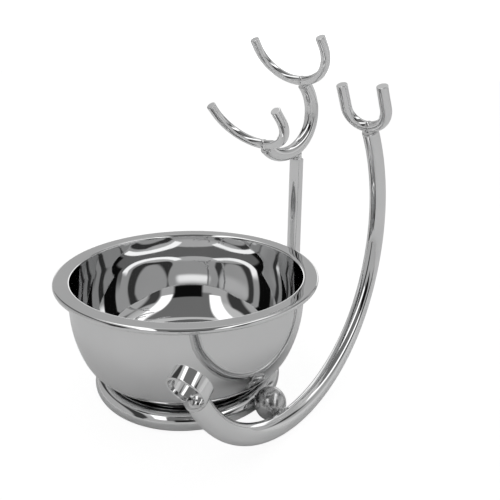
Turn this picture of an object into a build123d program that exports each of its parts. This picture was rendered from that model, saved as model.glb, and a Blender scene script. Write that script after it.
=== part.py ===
from build123d import *
import os
from math import asin, cos, degrees, radians, sin

# A chrome shaving stand: a round bar frame that carries a razor and a brush, with a loose
# soap bowl standing in its base ring.  Millimetres, +Z up.  The origin is on the table, on
# the bowl's axis.  +X points at the razor arm, +Y at the post that carries the brush.

# Stock
BAR_R = 3.25                    # frame bar, 6.5 mm round
WIRE_R = 2.15                   # fork wire, 4.3 mm round
SHEET = 0.7                     # bowl sheet

# Bowl
RIM_R = 50.0                    # outer edge of the rim
RIM_TOP = 45.2
CURL_R = 1.0                    # outside of the curl along the rim's edge
CURL_TURN = 200                 # how far the edge is curled under, in degrees
RIM_RISE = 2.5                  # slope of the rim's top, up towards its edge
LIP_R = 1.15                    # round-over from the rim's top into the cup
MOUTH_R = 43.95                 # inside of the wall under the rim
WALL_TOP = 36.0                 # the wall is upright above this height
SIDE_R = 46.0                   # wall's upper curve
SIDE_TURN = 24
BELLY_R = 17.5                  # wall's lower curve
FOOT_R = 28.5
FOOT_BEND_R = 1.0
FOOT_EDGE_R = 1.5

# Base
RING_R = 32.8                   # base ring's centreline
BALL_R = 5.6

# Razor arm, in the upright plane that touches the base ball
ARM_X = RING_R + 2 * 8.0
ARM_LOW_Y = 3.8                 # where the arm touches the table
ARM_LOW_R = 54.6
ARM_HIGH_R = 65.5
ARM_FRONT = -63.3               # angles round the arm from its lowest point
ARM_CHANGE = 60.2
ARM_TOP = 123.3

# Handle ring
HANDLE_RING_R = 6.2
HANDLE_RING_BORE_R = 5.4
HANDLE_RING_LENGTH = 4.3
HANDLE_RING_RISE = 28.5         # tilt of its axis above the table
HANDLE_RING_TURN = 11.6         # turn of its axis about +Z

# Razor fork
RAZOR_FORK_R = 8.15             # half the distance between its arms' centres
RAZOR_FORK_ARM = 9.5
RAZOR_FORK_LEAN = 26.8

# Post
POST_Y = 71.9
POST_TOP = 80.5
POST_BEND_R = 18.0
NECK_R = 2.3                    # stub between the post and the cradle bow

# Cradle bow
BOW_R = 18.9
BOW_Y = -9.55                   # centre of the bow, measured from the post
BOW_Z = 101.9
BOW_TURN = -9.4                 # turn of its plane about +Z
BOW_TOP = 46.5                  # polar angles in its plane
BOW_LOW = -95.3
TOE_R = 14.0                    # tighter curve at the bow's lower end
TOE_TURN = 39.8

# Brush forks
BRUSH_FORK_R = 18.6
BRUSH_FORK_ARM = 4.45
BRUSH_FORK_TURN = -2.9
UPPER_FORK_LEAN = 35.6
LOWER_FORK_LEAN = 42.6
FORK_SEAT = WIRE_R - 0.1        # the wire sits 0.1 mm into the end that carries it

# Brazes: the beads of filler metal at the joints
OVERLAP = 0.3                   # how far a bar's end is let into the piece it meets
BALL_BRAZE_R = 3.0
BALL_BRAZE_LENGTH = 2.0
BALL_BRAZE_REACH = 0.65         # its place, as a share of the way from ball to bar
RING_BRAZE_R = 3.6
RING_BRAZE_LENGTH = 1.2
POST_BRAZE_R = 3.7
POST_BRAZE_LENGTH = 2.4
BRAZE_LIFT = 0.2                # the post's filler stays this far above the table
FORK_BRAZE_R = 2.6
FORK_BRAZE_LENGTH = 5.0
TUBE_EDGE_R = 0.25              # rounding of the handle ring's edges


def bar(path, radius):
    section = Plane(origin=path @ 0, z_dir=path % 0) * Circle(radius)
    return sweep(section, path=path)


def fork(base, across, lean_back, radius, arm):
    """A U of wire whose bend rests on base; across and lean_back span its plane."""
    left = Line((-radius, radius + arm), (-radius, radius))
    bend = JernArc(left @ 1, (0, -1), radius, 180)
    right = Line(bend @ 1, (radius, radius + arm))
    plane = Plane(origin=base, x_dir=across, z_dir=across.cross(lean_back))
    return bar(plane * Wire([left, bend, right]), WIRE_R)


def braze(place, direction, radius, length, *joined):
    """The bead of filler metal that closes the crevice between two joined pieces."""
    bead = Plane(origin=place, z_dir=direction) * Cylinder(radius, length)
    for piece in joined:
        bead -= piece
    return bead


def flat(turn):
    """Unit vector in the table plane, turned from +Y about +Z."""
    return Vector(-sin(radians(turn)), cos(radians(turn)), 0)


def leaning(turn, lean):
    """Unit vector that leans from upright towards the front."""
    return Vector(0, 0, 1) * cos(radians(lean)) - flat(turn) * sin(radians(lean))


def bowl():
    """One pressed sheet: flat curled rim, curved wall and a foot that drops inside the base ring."""
    half = SHEET / 2
    curl = CURL_R - half
    lip = LIP_R - half
    belly = BELLY_R - half
    bend = FOOT_BEND_R + half
    wall = MOUTH_R + half
    belly_x = wall - (SIDE_R - BELLY_R) * (1 - cos(radians(SIDE_TURN))) - belly
    slope = degrees(asin((FOOT_R - half - belly_x + bend) / (belly + bend)))
    curled = CenterArc((RIM_R - CURL_R, RIM_TOP - CURL_R), curl, 90 + RIM_RISE - CURL_TURN, CURL_TURN)
    rim_length = (curled @ 1).X - wall - lip * (1 - sin(radians(RIM_RISE)))
    inward = (curled % 1) / cos(radians(RIM_RISE))
    rim = Line(curled @ 1, curled @ 1 + inward * rim_length)
    turn_down = JernArc(rim @ 1, rim % 1, lip, 90 - RIM_RISE)
    upright = Line(turn_down @ 1, ((turn_down @ 1).X, WALL_TOP))
    side = JernArc(upright @ 1, (0, -1), SIDE_R - half, -SIDE_TURN)
    lower = JernArc(side @ 1, side % 1, belly, SIDE_TURN + slope - 90)
    step = JernArc(lower @ 1, lower % 1, bend, 90 - slope)
    foot = Line(step @ 1, ((step @ 1).X, FOOT_EDGE_R))
    edge = JernArc(foot @ 1, (0, -1), FOOT_EDGE_R - half, -90)
    floor = Line(edge @ 1, (0, half))
    path = Wire([curled, rim, turn_down, upright, side, lower, step, foot, edge, floor])
    section = Plane.XZ * trace(path, SHEET)
    return revolve(section, Axis.Z)


def base_ring():
    return Pos(0, 0, BAR_R) * Torus(RING_R, BAR_R)


def ball_centre():
    return Vector((RING_R + ARM_X) / 2, 0, BALL_R)


def arm_plane():
    return Plane(origin=(ARM_X, 0, 0), x_dir=(0, 1, 0), z_dir=(1, 0, 0))


def arm_path():
    """Two tangent arcs, from the handle ring under the bowl's rim and up to the razor fork."""
    centre = (ARM_LOW_Y, BAR_R + ARM_LOW_R)
    low = CenterArc(centre, ARM_LOW_R, ARM_FRONT - 90, ARM_CHANGE - ARM_FRONT)
    high = JernArc(low @ 1, low % 1, ARM_HIGH_R, ARM_TOP - ARM_CHANGE)
    return arm_plane() * Wire([low, high])


def handle_ring_plane():
    path = arm_path()
    centre = path @ 0 - (path % 0) * (HANDLE_RING_R - OVERLAP)
    rise = radians(HANDLE_RING_RISE)
    axis = flat(HANDLE_RING_TURN) * cos(rise) + Vector(0, 0, sin(rise))
    return Plane(origin=centre, z_dir=axis)


def handle_ring():
    outside = Cylinder(HANDLE_RING_R, HANDLE_RING_LENGTH)
    ring = outside - Cylinder(HANDLE_RING_BORE_R, HANDLE_RING_LENGTH)
    ring = fillet(ring.edges().filter_by(GeomType.CIRCLE), TUBE_EDGE_R)
    return handle_ring_plane() * ring


def razor_arm():
    """The bar's front end is coped to the handle ring that it carries."""
    cope = handle_ring_plane() * Cylinder(HANDLE_RING_R, 3 * HANDLE_RING_LENGTH)
    return bar(arm_path(), BAR_R) - cope


def razor_fork_base():
    path = arm_path()
    return path @ 1 + (path % 1) * FORK_SEAT


def post():
    """Runs out from the base ring along the table, then bends straight up."""
    leg = Line((RING_R, BAR_R), (POST_Y - POST_BEND_R, BAR_R))
    bend = JernArc(leg @ 1, (1, 0), POST_BEND_R, 90)
    upright = Line(bend @ 1, (POST_Y, POST_TOP))
    plane = Plane(origin=(0, 0, 0), x_dir=(0, 1, 0), z_dir=(1, 0, 0))
    return bar(plane * Wire([leg, bend, upright]), BAR_R)


def bow_plane():
    across = flat(BOW_TURN)
    return Plane(origin=(0, POST_Y, 0), x_dir=across, z_dir=across.cross(Vector(0, 0, 1)))


def bow_path():
    """From the upper end down round the back, over the post and up into the toe."""
    arc = CenterArc((BOW_Y, BOW_Z), BOW_R, BOW_TOP, BOW_LOW - BOW_TOP)
    toe = JernArc(arc @ 1, arc % 1, TOE_R, -TOE_TURN)
    return bow_plane() * Wire([arc, toe])


def lower_fork_base():
    path = bow_path()
    return path @ 1 + (path % 1) * FORK_SEAT


def upper_fork_base():
    path = bow_path()
    return path @ 0 - (path % 0) * FORK_SEAT


def brush_fork(base, lean):
    across = flat(BRUSH_FORK_TURN - 90)
    return fork(base, across, leaning(BRUSH_FORK_TURN, lean), BRUSH_FORK_R, BRUSH_FORK_ARM)


def ball_braze(centre, to_bar, ball, piece):
    place = centre + to_bar * BALL_BRAZE_REACH
    return braze(place, to_bar, BALL_BRAZE_R, BALL_BRAZE_LENGTH, ball, piece)


def fork_braze(base, direction, wire, carrier):
    return braze(base, direction, FORK_BRAZE_R, FORK_BRAZE_LENGTH, wire, carrier)


def base():
    """The ring the bowl stands in, and the ball that ties the razor arm to it."""
    ring = base_ring()
    arm = razor_arm()
    centre = ball_centre()
    ball = Pos(*centre) * Sphere(BALL_R)
    to_ring = Vector(RING_R, 0, BAR_R) - centre
    to_arm = Vector(ARM_X, 0, BAR_R) - centre
    return {
        "base_ring": ring,
        "spacer_ball": ball - ring - arm,
        "ring_ball_braze": ball_braze(centre, to_ring, ball, ring),
        "arm_ball_braze": ball_braze(centre, to_arm, ball, arm),
    }


def razor_side():
    """The arm with the ring for the razor's handle and the fork for its neck."""
    arm = razor_arm()
    path = arm_path()
    bore = handle_ring_plane() * Cylinder(HANDLE_RING_R - TUBE_EDGE_R, 2 * HANDLE_RING_LENGTH)
    ring = handle_ring()
    neck_fork = fork(razor_fork_base(), Vector(1, 0, 0), leaning(0, RAZOR_FORK_LEAN),
                     RAZOR_FORK_R, RAZOR_FORK_ARM) - arm
    return {
        "razor_arm": arm,
        "handle_ring": ring,
        "handle_ring_braze": braze(path @ 0, path % 0, RING_BRAZE_R, RING_BRAZE_LENGTH, bore, ring, arm),
        "razor_fork": neck_fork,
        "razor_fork_braze": fork_braze(razor_fork_base(), path % 1, neck_fork, arm),
    }


def brush_side():
    """The post, the bow on top of it and the two forks that the brush lies across."""
    path = bow_path()
    bow = bar(path, BAR_R)
    ring = base_ring()
    upright = post() - ring
    below = Pos(0, RING_R + BAR_R, -BAR_R) * Box(4 * BAR_R, 4 * BAR_R, 2 * (BAR_R + BRAZE_LIFT))
    ring_back = Vector(0, RING_R + BAR_R, BAR_R)
    neck = Pos(0, POST_Y, POST_TOP + BAR_R) * Cylinder(NECK_R, 2 * BAR_R) - bow
    lower_fork = brush_fork(lower_fork_base(), LOWER_FORK_LEAN) - bow
    upper_fork = brush_fork(upper_fork_base(), UPPER_FORK_LEAN) - bow
    return {
        "post": upright,
        "post_foot_braze": braze(ring_back, Vector(0, 1, 0), POST_BRAZE_R, POST_BRAZE_LENGTH,
                                 ring, upright, below),
        "post_neck": neck.solids().sort_by(Axis.Z)[0],
        "cradle_bow": bow,
        "lower_brush_fork": lower_fork,
        "lower_fork_braze": fork_braze(lower_fork_base(), path % 1, lower_fork, bow),
        "upper_brush_fork": upper_fork,
        "upper_fork_braze": fork_braze(upper_fork_base(), path % 0, upper_fork, bow),
    }


def build():
    return {"bowl": bowl(), **base(), **razor_side(), **brush_side()}


os.makedirs("parts", exist_ok=True)
for name, shape in build().items():
    shape.label = name
    export_step(shape, f"parts/{name}.step")
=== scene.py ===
from math import asin, cos, degrees, pi, radians, sin

import bpy
from mathutils import Matrix, Vector


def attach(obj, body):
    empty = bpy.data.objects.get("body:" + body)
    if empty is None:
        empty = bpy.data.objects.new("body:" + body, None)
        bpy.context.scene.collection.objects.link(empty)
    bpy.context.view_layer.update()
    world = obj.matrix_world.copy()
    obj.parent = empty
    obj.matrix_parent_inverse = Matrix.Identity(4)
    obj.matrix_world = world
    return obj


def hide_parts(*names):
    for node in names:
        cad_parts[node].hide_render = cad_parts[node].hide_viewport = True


# A chrome shaving stand with its soap bowl.  Sizes are in millimetres, in the frame's own
# axes: the origin is on the table under the bowl, +X points at the razor arm and +Y at the post.

MM = 0.001
POLE_R = 1e-6                   # a ring of corners smaller than this is a single corner

# Stock
BAR_R = 3.25
WIRE_R = 2.15
SHEET = 0.7
OVERLAP = 0.3                   # how far a bar's end is let into the piece it meets

# Bowl
RIM_R = 50.0
RIM_TOP = 45.2
CURL_R = 1.0
CURL_TURN = 200
RIM_RISE = 2.5
LIP_R = 1.15
MOUTH_R = 43.95
WALL_TOP = 36.0
SIDE_R = 46.0
SIDE_TURN = 24
BELLY_R = 17.5
FOOT_R = 28.5
FOOT_BEND_R = 1.0
FOOT_EDGE_R = 1.5

# Base
RING_R = 32.8
BALL_R = 5.6
BALL_GAP = 8.0                  # level distance from the ball's centre to each bar's middle

# Razor arm: a lower and an upper arc, whose angles are counted from the arm's lowest point
ARM_X = RING_R + 2 * BALL_GAP
ARM_LOW_Y = 3.8
ARM_LOW_R = 54.6
ARM_HIGH_R = 65.5
ARM_FRONT = -63.3
ARM_CHANGE = 60.2
ARM_TOP = 123.3

# Handle ring
HANDLE_RING_R = 6.2
HANDLE_RING_BORE_R = 5.4
HANDLE_RING_LENGTH = 4.3
HANDLE_RING_RISE = 28.5
HANDLE_RING_TURN = 11.6
TUBE_EDGE_R = 0.25

# Razor fork
RAZOR_FORK_R = 8.15
RAZOR_FORK_ARM = 9.5
RAZOR_FORK_LEAN = 26.8

# Post
POST_Y = 71.9
POST_TOP = 80.5
POST_BEND_R = 18.0
POST_EDGE_R = 0.6
NECK_R = 2.3
# The neck's outline, as (radius, height above the post's top)
NECK_OUTLINE = [(0, -OVERLAP), (NECK_R + 0.5, -OVERLAP), (NECK_R + 0.1, OVERLAP), (NECK_R, 1.2),
                (NECK_R + 0.2, 2.6), (0, 2.8)]

# Cradle bow
BOW_R = 18.9
BOW_Y = -9.55
BOW_Z = 101.9
BOW_TURN = -9.4
BOW_TOP = 46.5
BOW_LOW = -95.3
TOE_R = 14.0
TOE_TURN = 39.8

# Brush forks
BRUSH_FORK_R = 18.6
BRUSH_FORK_ARM = 4.45
BRUSH_FORK_TURN = -2.9
UPPER_FORK_LEAN = 35.6
LOWER_FORK_LEAN = 42.6
WIRE_EDGE_R = 0.25
FORK_SEAT = WIRE_R - 0.1        # the wire sits 0.1 mm into the end that carries it

# Filler metal; each set is (radius at the touching place, radius at the ends, half its length)
BALL_FILLER = (2.2, 3.1, 1.2)
BALL_FILLER_REACH = 5.35
RING_FILLER = (3.2, 3.5, 0.6)
RING_FILLER_REACH = 0.2
POST_FILLER = (3.1, 3.22, 1.2)

# Filler metal around a fork's seat, as (radius, height above the bar's cut end)
SEAT_FILLER = [(0, FORK_SEAT - 0.5), (2.95, -0.05), (2.8, 0.15), (2.5, 0.5), (2.3, 1.0), (2.2, 1.7),
               (2.2, 2.6), (1.9, 3.4), (1.3, 4.0), (0.5, 4.35), (0, 4.42)]

# Studio
FLOOR_SIDE = 20000              # from the middle to each edge
FLOOR_DROP = 0.02               # keeps the floor from touching the stand's underside
FLOOR_TONE = 0.85
FLOOR_GLOW = 1.15
FLOOR_GLOW_SHARE = 0.8
LAMP_HEIGHT = 1200
LAMP_SIDE = 1500
LAMP_POWER = 3

# Camera
CAMERA_AT = (141.1, -137.9, 120.94)
CAMERA_YAW = -38.99
CAMERA_PITCH = 9.98
CAMERA_ROLL = 1.08
SENSOR_WIDTH = 36
LENS = 38.23
LENS_SHIFT = -0.1705


# Lines and surfaces

class Pen:
    """Draws a smooth line of straight and round stretches in its own plane."""

    def __init__(self, x, y, heading, step=1.0):
        self.at = Vector((x, y))
        self.heading = radians(heading)
        self.step = step
        self.points = [self.at.copy()]
        self.headings = [self.heading]

    def forward(self):
        return Vector((cos(self.heading), sin(self.heading)))

    def mark(self):
        """Adds the pen's place to the line."""
        self.points.append(self.at.copy())
        self.headings.append(self.heading)
        return self

    def straight(self, length):
        count = max(1, round(length / self.step / 2))
        for _ in range(count):
            self.at += self.forward() * length / count
            self.mark()
        return self

    def turn(self, radius, angle):
        """Round stretch, to the left for a positive angle, in steps of about 6 degrees or less."""
        count = max(2, round(abs(radians(angle)) * radius / self.step), round(abs(angle) / 6))
        each = radians(angle) / count
        chord = 2 * radius * abs(sin(each / 2))
        for _ in range(count):
            self.heading += each / 2
            self.at += self.forward() * chord
            self.heading += each / 2
            self.mark()
        return self

    def side(self, distance):
        """The line's points moved to its left by distance."""
        pairs = zip(self.points, self.headings)
        return [p + Vector((-sin(h), cos(h))) * distance for p, h in pairs]


class Plane:
    """Places a drawing: its x and y run along two unit vectors from an origin."""

    def __init__(self, origin, across, up):
        self.origin = Vector(origin)
        self.across = Vector(across)
        self.up = Vector(up)
        self.normal = self.across.cross(self.up)

    def place(self, point):
        return self.origin + self.across * point.x + self.up * point.y

    def direction(self, heading):
        return self.across * cos(heading) + self.up * sin(heading)


def new_object(name, corners, faces):
    mesh = bpy.data.meshes.new(name)
    mesh.from_pydata([corner * MM for corner in corners], [], faces)
    mesh.validate()
    mesh.shade_smooth()
    piece = bpy.data.objects.new(name, mesh)
    bpy.context.scene.collection.objects.link(piece)
    return piece


def skin(rings, closed):
    """Corners and faces of a surface through rings of corners; a ring of one corner is a pole."""
    corners = [corner for ring in rings for corner in ring]
    starts = [0]
    for ring in rings:
        starts.append(starts[-1] + len(ring))
    pairs = [(i, i + 1) for i in range(len(rings) - 1)]
    if closed:
        pairs.append((len(rings) - 1, 0))
    faces = []
    for i, j in pairs:
        count = max(len(rings[i]), len(rings[j]))
        for k in range(count):
            a = starts[i] + k % len(rings[i])
            b = starts[i] + (k + 1) % len(rings[i])
            c = starts[j] + (k + 1) % len(rings[j])
            d = starts[j] + k % len(rings[j])
            faces.append([v for n, v in enumerate((a, b, c, d)) if v not in (a, b, c, d)[:n]])
    return corners, faces


def lathe(name, profile, count, closed=False, origin=(0, 0, 0), axis=(0, 0, 1)):
    """Turns a profile of (radius, height) points about an axis."""
    turn = Vector(axis).to_track_quat("Z", "Y").to_matrix()
    rings = []
    for radius, height in profile:
        steps = 1 if radius < POLE_R else count
        angles = [2 * pi * k / count for k in range(steps)]
        ring = [Vector((radius * cos(a), radius * sin(a), height)) for a in angles]
        rings.append([Vector(origin) + turn @ corner for corner in ring])
    return new_object(name, *skin(rings, closed))


def rod_end(radius, rounding):
    """(radius, setback) pairs of a cut end with a broken edge, from its centre to its side."""
    ends = [((radius - rounding) * share, 0) for share in (0, 0.5, 0.9, 1)]
    for step in range(1, 7):
        angle = step * pi / 12
        ends.append((radius - rounding * (1 - sin(angle)), rounding * (1 - cos(angle))))
    return ends


def rod(name, pen, plane, radius, count=40, rounding=0.3):
    """A round bar along the pen's line, cut square at both ends."""
    def ring(point, heading, size, shift):
        along = plane.direction(heading)
        out = along.cross(plane.normal)
        centre = plane.place(point) + along * shift
        if size < POLE_R:
            return [centre]
        angles = [2 * pi * k / count for k in range(count)]
        return [centre + (plane.normal * cos(a) + out * sin(a)) * size for a in angles]

    first, last = (pen.points[0], pen.headings[0]), (pen.points[-1], pen.headings[-1])
    end = rod_end(radius, rounding)
    rings = [ring(*first, size, setback) for size, setback in end]
    rings += [ring(p, h, radius, 0) for p, h in list(zip(pen.points, pen.headings))[1:-1]]
    rings += [ring(*last, size, -setback) for size, setback in reversed(end)]
    return new_object(name, *skin(rings, False))


def flat(turn):
    """Level direction: +Y turned by turn degrees, to the left seen from above."""
    return Vector((-sin(radians(turn)), cos(radians(turn)), 0))


def leaning(turn, lean):
    """Upward direction that leans back from flat(turn) by lean degrees."""
    return Vector((0, 0, 1)) * cos(radians(lean)) - flat(turn) * sin(radians(lean))


# Pieces

def bowl():
    """Pressed sheet with a flat curled rim and a foot."""
    half = SHEET / 2
    curl = CURL_R - half
    lip = LIP_R - half
    belly = BELLY_R - half
    bend = FOOT_BEND_R + half
    wall = MOUTH_R + half
    belly_x = wall - (SIDE_R - BELLY_R) * (1 - cos(radians(SIDE_TURN))) - belly
    slope = degrees(asin((FOOT_R - half - belly_x + bend) / (belly + bend)))
    start = 90 + RIM_RISE - CURL_TURN
    start_x = RIM_R - CURL_R + curl * cos(radians(start))
    start_y = RIM_TOP - CURL_R + curl * sin(radians(start))
    pen = Pen(start_x, start_y, start + 90, step=0.5)
    pen.turn(curl, CURL_TURN)
    rim_length = pen.at.x - wall - lip * (1 - sin(radians(RIM_RISE)))
    pen.straight(rim_length / cos(radians(RIM_RISE))).turn(lip, 90 - RIM_RISE)
    pen.straight(pen.at.y - WALL_TOP)
    pen.turn(SIDE_R - half, -SIDE_TURN).turn(belly, SIDE_TURN + slope - 90).turn(bend, 90 - slope)
    pen.straight(pen.at.y - FOOT_EDGE_R).turn(FOOT_EDGE_R - half, -90)
    pen.straight(pen.at.x)
    profile = list(reversed(pen.side(half))) + pen.side(-half)
    return lathe("bowl_sheet", [(max(p.x, 0), p.y) for p in profile], count=224)


def base_ring():
    sides = 40
    angles = [2 * pi * k / sides for k in range(sides)]
    circle = [(RING_R + BAR_R * cos(a), BAR_R + BAR_R * sin(a)) for a in angles]
    return lathe("base_ring_bar", circle, count=192, closed=True)


def ball_centre():
    return Vector(((RING_R + ARM_X) / 2, 0, BALL_R))


def ball():
    steps = 40
    angles = [pi * k / steps for k in range(steps + 1)]
    arc = [(BALL_R * sin(a), -BALL_R * cos(a)) for a in angles]
    return lathe("spacer_ball_turned", arc, count=64, origin=ball_centre())


def arm_pen():
    start = radians(ARM_FRONT)
    pen = Pen(ARM_LOW_Y + ARM_LOW_R * sin(start), BAR_R + ARM_LOW_R * (1 - cos(start)), ARM_FRONT)
    return pen.turn(ARM_LOW_R, ARM_CHANGE - ARM_FRONT).turn(ARM_HIGH_R, ARM_TOP - ARM_CHANGE)


def arm_plane():
    return Plane((ARM_X, 0, 0), (0, 1, 0), (0, 0, 1))


def ring_frame():
    """Centre and axis of the handle ring, on the razor arm's front end."""
    pen = arm_pen()
    front = arm_plane().direction(pen.headings[0])
    centre = arm_plane().place(pen.points[0]) - front * (HANDLE_RING_R - OVERLAP)
    rise = radians(HANDLE_RING_RISE)
    return centre, flat(HANDLE_RING_TURN) * cos(rise) + Vector((0, 0, sin(rise)))


def handle_ring():
    """Short tube with rounded edges."""
    centre, axis = ring_frame()
    outer = HANDLE_RING_R - TUBE_EDGE_R
    inner = HANDLE_RING_BORE_R + TUBE_EDGE_R
    end = HANDLE_RING_LENGTH / 2 - TUBE_EDGE_R
    corners = [(outer, end, 0), (inner, end, 90), (inner, -end, 180), (outer, -end, 270)]
    profile = []
    for x, y, start in corners:
        for step in range(7):
            angle = radians(start + 15 * step)
            profile.append((x + TUBE_EDGE_R * cos(angle), y + TUBE_EDGE_R * sin(angle)))
    return lathe("handle_ring_tube", profile, count=96, closed=True, origin=centre, axis=axis)


def razor_arm():
    return rod("razor_arm_bar", arm_pen(), arm_plane(), BAR_R)


def fork(name, base, across, up, radius, arm):
    """U of wire with the bottom of its bend at base."""
    pen = Pen(-radius, radius + arm, -90)
    pen.straight(arm).turn(radius, 180).straight(arm)
    return rod(name, pen, Plane(base, across, up), WIRE_R, count=32, rounding=WIRE_EDGE_R)


def razor_fork_base():
    """The place of the razor fork, on the arm's top end."""
    pen = arm_pen()
    plane = arm_plane()
    return plane.place(pen.points[-1]) + plane.direction(pen.headings[-1]) * FORK_SEAT


def razor_fork():
    up = leaning(0, RAZOR_FORK_LEAN)
    return fork("razor_fork_wire", razor_fork_base(), (1, 0, 0), up, RAZOR_FORK_R, RAZOR_FORK_ARM)


def post():
    pen = Pen(RING_R, BAR_R, 0)
    pen.straight(POST_Y - POST_BEND_R - RING_R)
    pen.turn(POST_BEND_R, 90)
    pen.straight(POST_TOP - BAR_R - POST_BEND_R)
    return rod("post_bar", pen, Plane((0, 0, 0), (0, 1, 0), (0, 0, 1)), BAR_R, rounding=POST_EDGE_R)


def bow_plane():
    return Plane((0, POST_Y, 0), flat(BOW_TURN), (0, 0, 1))


def bow_pen():
    start = radians(BOW_TOP)
    pen = Pen(BOW_Y + BOW_R * cos(start), BOW_Z + BOW_R * sin(start), BOW_TOP - 90)
    return pen.turn(BOW_R, BOW_LOW - BOW_TOP).turn(TOE_R, -TOE_TURN)


def bow():
    return rod("cradle_bow_bar", bow_pen(), bow_plane(), BAR_R)


def bow_ends():
    """The places of the two brush forks: (base, outward direction), lower then upper."""
    pen = bow_pen()
    plane = bow_plane()
    low_out = plane.direction(pen.headings[-1])
    top_out = plane.direction(pen.headings[0]) * -1
    low = plane.place(pen.points[-1]) + low_out * FORK_SEAT
    top = plane.place(pen.points[0]) + top_out * FORK_SEAT
    return (low, low_out), (top, top_out)


def brush_fork(name, base, lean):
    across = flat(BRUSH_FORK_TURN - 90)
    up = leaning(BRUSH_FORK_TURN, lean)
    return fork(name, base, across, up, BRUSH_FORK_R, BRUSH_FORK_ARM)


def neck():
    """Stub between the post's top and the bow, a little wider at both ends."""
    profile = [(radius, POST_TOP + height) for radius, height in NECK_OUTLINE]
    return lathe("post_neck_stub", profile, count=48, origin=(0, POST_Y, 0))


def waist_braze(name, place, axis, waist, spread, half):
    """Filler metal between two round pieces: narrowest where they touch."""
    steps = 14
    profile = [(0, -half)]
    for step in range(steps + 1):
        share = 2 * step / steps - 1
        profile.append((waist + (spread - waist) * share * share, half * share))
    profile.append((0, half))
    return lathe(name, profile, count=48, origin=place, axis=axis)


def ball_braze(name, bar_x):
    """Filler metal between the ball and the bar beside it whose middle is at bar_x."""
    centre = ball_centre()
    to_bar = (Vector((bar_x, 0, BAR_R)) - centre).normalized()
    return waist_braze(name, centre + to_bar * BALL_FILLER_REACH, to_bar, *BALL_FILLER)


def handle_ring_braze():
    """Filler metal between the razor arm's front end and the handle ring."""
    centre, _ = ring_frame()
    arm_front = arm_plane().place(arm_pen().points[0])
    to_ring = (centre - arm_front).normalized()
    place = arm_front + to_ring * RING_FILLER_REACH
    return waist_braze("handle_ring_filler", place, to_ring, *RING_FILLER)


def seat_braze(name, place, axis):
    """Filler metal that climbs from a bar's cut end to the wire across it."""
    profile = [(radius, height - FORK_SEAT) for radius, height in SEAT_FILLER]
    return lathe(name, profile, count=48, origin=place, axis=axis)


# Materials

CLOUD_SCALE = 60                # blotches per metre
HAIRLINE_SCALE = 900
WAVE_SCALE = 120
DARK_TINT = (0.94, 0.945, 0.95)
LIGHT_TINT = (1.04, 1.04, 1.04)
WEAR_RANGE = (0.35, 0.75)
BUMP_HEIGHT = 0.1 * MM


def calculate(tree, operation, *values):
    """A math node; each value is a number or another node's output."""
    node = tree.nodes.new("ShaderNodeMath")
    node.operation = operation
    for socket, value in zip(node.inputs, values):
        if isinstance(value, (int, float)):
            socket.default_value = value
        else:
            tree.links.new(value, socket)
    return node.outputs["Value"]


def noise(tree, scale, detail):
    """Soft noise that is fixed to the piece."""
    place = tree.nodes.new("ShaderNodeTexCoord")
    node = tree.nodes.new("ShaderNodeTexNoise")
    node.inputs["Scale"].default_value = scale
    node.inputs["Detail"].default_value = detail
    tree.links.new(place.outputs["Object"], node.inputs["Vector"])
    return node.outputs["Fac"]


def tinted(tree, tone):
    """The plating's tone, faintly cloudy."""
    colour = tree.nodes.new("ShaderNodeValToRGB")
    for stop, tint in zip(colour.color_ramp.elements, (DARK_TINT, LIGHT_TINT)):
        stop.color = (*[tone * share for share in tint], 1)
    tree.links.new(noise(tree, CLOUD_SCALE, 4), colour.inputs["Fac"])
    return colour.outputs["Color"]


def worn(tree, hairlines, roughness):
    """Roughness that doubles where the hairlines are."""
    wear = tree.nodes.new("ShaderNodeMapRange")
    wear.inputs["From Min"].default_value, wear.inputs["From Max"].default_value = WEAR_RANGE
    wear.inputs["To Min"].default_value = roughness
    wear.inputs["To Max"].default_value = roughness * 2
    tree.links.new(hairlines, wear.inputs["Value"])
    return wear.outputs["Result"]


def uneven(tree, hairlines, ripple, pits):
    """A bump of long waves and, by the share pits, fine hairlines."""
    height = calculate(tree, "MULTIPLY_ADD", hairlines, pits, noise(tree, WAVE_SCALE, 1))
    bump = tree.nodes.new("ShaderNodeBump")
    bump.inputs["Strength"].default_value = ripple
    bump.inputs["Distance"].default_value = BUMP_HEIGHT
    tree.links.new(height, bump.inputs["Height"])
    return bump.outputs["Normal"]


def chrome(name, tone, roughness, ripple, pits):
    """Polished plating: faint cloudiness, hairline wear and a slightly uneven surface."""
    material = bpy.data.materials.new(name)
    material.use_nodes = True
    tree = material.node_tree
    shader = tree.nodes["Principled BSDF"]
    shader.inputs["Metallic"].default_value = 1.0
    hairlines = noise(tree, HAIRLINE_SCALE, 2)
    tree.links.new(tinted(tree, tone), shader.inputs["Base Color"])
    tree.links.new(worn(tree, hairlines, roughness), shader.inputs["Roughness"])
    tree.links.new(uneven(tree, hairlines, ripple, pits), shader.inputs["Normal"])
    return material


# Studio

ROOM_LIGHT = 0.46
TOWARDS_CAMERA = (0.6, -0.8, 0)
CAMERA_RIGHT = (0.8, 0.6, 0)
WHOLE = (-1.5, 1.5)

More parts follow.
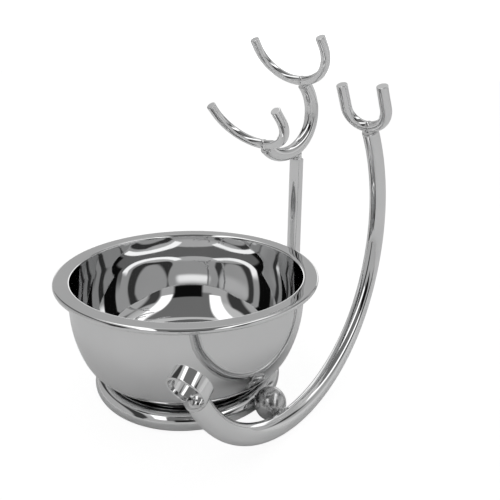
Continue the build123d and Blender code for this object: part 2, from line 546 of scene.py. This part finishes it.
# The room's patches, each laid over those before it: a name, its reach towards the camera, to
# the camera's right and upwards, its edge's softness, and its brightness.  The directions are
# fixed in the room, near those of the main camera.
PATCHES = [
    ("upper walls", WHOLE, WHOLE, (0.7, 1.5), 0.08, 0.62),
    ("right wall", WHOLE, (0.8, 1.5), (-1, 0.3), 0.08, 0.66),
    ("back wall", (-1.5, -0.82), WHOLE, (-1, 0.22), 0.06, 1.35),
    ("dark ceiling", (-0.2, 1.5), (-0.30, 0.44), (0.40, 1.5), 0.03, 0.18),
    ("left flag", (-0.6, 0.75), (-0.80, -0.58), (-0.05, 0.75), 0.03, 0.05),
    ("right flag", (-0.6, 0.75), (0.64, 0.80), (-0.05, 0.62), 0.03, 0.06),
    ("left strip light", (-0.5, 1.5), (-0.46, -0.26), (0.46, 0.98), 0.02, 1.6),
    ("right strip light", (-0.3, 1.5), (0.43, 0.62), (0.42, 0.88), 0.02, 1.5),
    ("camera", (0, 1.5), (-0.12, 0.42), (0.26, 0.58), 0.03, 0.005),
]


def between(tree, value, low, high, softness):
    """1 where value lies between low and high, falling smoothly to 0 outside."""
    edges = []
    for edge, sign in ((low, 1), (high, -1)):
        node = tree.nodes.new("ShaderNodeMapRange")
        node.interpolation_type = "SMOOTHSTEP"
        node.inputs["From Min"].default_value = edge - sign * softness
        node.inputs["From Max"].default_value = edge + sign * softness
        tree.links.new(value, node.inputs["Value"])
        edges.append(node.outputs["Result"])
    return calculate(tree, "MULTIPLY", *edges)


def along(tree, axis):
    """How far each direction of the room points along an axis, from -1 to 1."""
    place = tree.nodes.new("ShaderNodeTexCoord")
    node = tree.nodes.new("ShaderNodeVectorMath")
    node.operation = "DOT_PRODUCT"
    tree.links.new(place.outputs["Generated"], node.inputs[0])
    node.inputs[1].default_value = axis
    return node.outputs["Value"]


def studio_world():
    """A grey room: long soft lights and dark flags overhead, a white wall behind the stand."""
    world = bpy.data.worlds.new("studio")
    bpy.context.scene.world = world
    world.use_nodes = True
    tree = world.node_tree
    front = along(tree, TOWARDS_CAMERA)
    side = along(tree, CAMERA_RIGHT)
    up = along(tree, (0, 0, 1))
    light = ROOM_LIGHT
    for _, fronts, sides, ups, softness, value in PATCHES:
        inside = calculate(tree, "MULTIPLY", between(tree, front, *fronts, softness),
                           between(tree, side, *sides, softness))
        inside = calculate(tree, "MULTIPLY", inside, between(tree, up, *ups, softness))
        outside = calculate(tree, "SUBTRACT", 1, inside)
        light = calculate(tree, "ADD", calculate(tree, "MULTIPLY", light, outside),
                          calculate(tree, "MULTIPLY", inside, value))
    seen = tree.nodes.new("ShaderNodeLightPath").outputs["Is Camera Ray"]
    background = tree.nodes["Background"]
    background.inputs["Color"].default_value = (1, 1, 1, 1)
    tree.links.new(calculate(tree, "MAXIMUM", light, seen), background.inputs["Strength"])


def floor():
    """A pale floor that the camera sees almost white; reflections see its real shading."""
    signs = ((-1, -1), (1, -1), (1, 1), (-1, 1))
    corners = [Vector((FLOOR_SIDE * x, FLOOR_SIDE * y, -FLOOR_DROP)) for x, y in signs]
    plane = new_object("floor", corners, [(0, 1, 2, 3)])
    material = bpy.data.materials.new("floor_pale")
    material.use_nodes = True
    tree = material.node_tree
    shader = tree.nodes["Principled BSDF"]
    shader.inputs["Base Color"].default_value = (FLOOR_TONE, FLOOR_TONE, FLOOR_TONE, 1)
    shader.inputs["Roughness"].default_value = 0.9
    shader.inputs["Specular IOR Level"].default_value = 0
    glow = tree.nodes.new("ShaderNodeEmission")
    glow.inputs["Strength"].default_value = FLOOR_GLOW
    seen = tree.nodes.new("ShaderNodeLightPath").outputs["Is Camera Ray"]
    mix = tree.nodes.new("ShaderNodeMixShader")
    tree.links.new(calculate(tree, "MULTIPLY", seen, FLOOR_GLOW_SHARE), mix.inputs["Fac"])
    tree.links.new(shader.outputs["BSDF"], mix.inputs[1])
    tree.links.new(glow.outputs["Emission"], mix.inputs[2])
    tree.links.new(mix.outputs["Shader"], tree.nodes["Material Output"].inputs["Surface"])
    plane.data.materials.append(material)


def overhead_light():
    """A weak square lamp that shades the floor; it points straight down and isn't reflected."""
    light = bpy.data.lights.new("overhead", "AREA")
    light.shape = "SQUARE"
    light.size = LAMP_SIDE * MM
    light.energy = LAMP_POWER
    lamp = bpy.data.objects.new("overhead", light)
    lamp.location = Vector((0, 0, LAMP_HEIGHT)) * MM
    lamp.visible_glossy = False
    bpy.context.scene.collection.objects.link(lamp)


def camera():
    """A camera a little above the rim, in front and to the right of the stand."""
    yaw, pitch, roll = radians(CAMERA_YAW), radians(CAMERA_PITCH), radians(CAMERA_ROLL)
    forward = Vector((sin(yaw) * cos(pitch), cos(yaw) * cos(pitch), -sin(pitch)))
    right = Vector((cos(yaw), -sin(yaw), 0))
    up = right.cross(forward)
    side = right * cos(roll) + up * sin(roll)
    top = up * cos(roll) - right * sin(roll)
    data = bpy.data.cameras.new("camera")
    data.sensor_width = SENSOR_WIDTH
    data.lens = LENS
    data.shift_y = LENS_SHIFT
    data.clip_start = 0.01
    eye = bpy.data.objects.new("camera", data)
    turn = Matrix((side, top, -forward)).transposed().to_4x4()
    eye.matrix_world = Matrix.Translation(Vector(CAMERA_AT) * MM) @ turn
    bpy.context.scene.collection.objects.link(eye)
    bpy.context.scene.camera = eye


# Assembly

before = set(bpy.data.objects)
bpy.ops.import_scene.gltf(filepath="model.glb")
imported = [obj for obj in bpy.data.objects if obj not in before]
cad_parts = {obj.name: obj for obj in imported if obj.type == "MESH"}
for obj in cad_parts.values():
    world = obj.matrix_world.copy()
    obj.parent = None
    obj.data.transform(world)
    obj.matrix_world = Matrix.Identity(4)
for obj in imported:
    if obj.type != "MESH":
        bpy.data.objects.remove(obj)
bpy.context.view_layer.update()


def add(piece, node, body, material):
    """Gives a piece its material and its body, and hides the CAD part of the node it stands for."""
    piece.data.materials.append(material)
    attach(piece, body)
    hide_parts(node)


def dress_bars():
    bar = chrome("bar_chrome", tone=0.79, roughness=0.03, ripple=0.12, pits=0.15)
    # The ball's chrome has a darker tone than the bars' (0.58 against 0.79). This is painted shade
    # standing in for the dark surroundings the ball reflects. Its higher roughness and stronger
    # bump are surface settings.
    painted_shade_ball_chrome = chrome("ball_chrome", tone=0.58, roughness=0.16, ripple=0.9, pits=0.5)
    pieces = {"base_ring": base_ring(), "razor_arm": razor_arm(), "handle_ring": handle_ring(),
              "post": post(), "post_neck": neck(), "cradle_bow": bow()}
    for node, piece in pieces.items():
        add(piece, node, "stand", bar)
    add(ball(), "spacer_ball", "stand", painted_shade_ball_chrome)


def dress_forks():
    wire = chrome("wire_chrome", tone=0.81, roughness=0.03, ripple=0.12, pits=0.12)
    (low, _), (top, _) = bow_ends()
    pieces = {"razor_fork": razor_fork(),
              "lower_brush_fork": brush_fork("lower_fork_wire", low, LOWER_FORK_LEAN),
              "upper_brush_fork": brush_fork("upper_fork_wire", top, UPPER_FORK_LEAN)}
    for node, piece in pieces.items():
        add(piece, node, "stand", wire)


def dress_brazes():
    filler = chrome("joint_chrome", tone=0.68, roughness=0.09, ripple=0.6, pits=0.4)
    arm_out = arm_plane().direction(arm_pen().headings[-1])
    ring_back = Vector((0, RING_R + BAR_R, BAR_R))
    (low, low_out), (top, top_out) = bow_ends()
    pieces = {
        "ring_ball_braze": ball_braze("ring_ball_filler", RING_R),
        "arm_ball_braze": ball_braze("arm_ball_filler", ARM_X),
        "handle_ring_braze": handle_ring_braze(),
        "post_foot_braze": waist_braze("post_foot_filler", ring_back, (0, 1, 0), *POST_FILLER),
        "razor_fork_braze": seat_braze("razor_fork_filler", razor_fork_base(), arm_out),
        "lower_fork_braze": seat_braze("lower_fork_filler", low, low_out),
        "upper_fork_braze": seat_braze("upper_fork_filler", top, top_out),
    }
    for node, piece in pieces.items():
        add(piece, node, "stand", filler)


def dress_bowl():
    steel = chrome("bowl_chrome", tone=0.76, roughness=0.02, ripple=0.05, pits=0.1)
    add(bowl(), "bowl", "soap_bowl", steel)


dress_bars()
dress_forks()
dress_brazes()
dress_bowl()
floor()
studio_world()
overhead_light()
camera()
bpy.context.scene.view_settings.view_transform = "Standard"
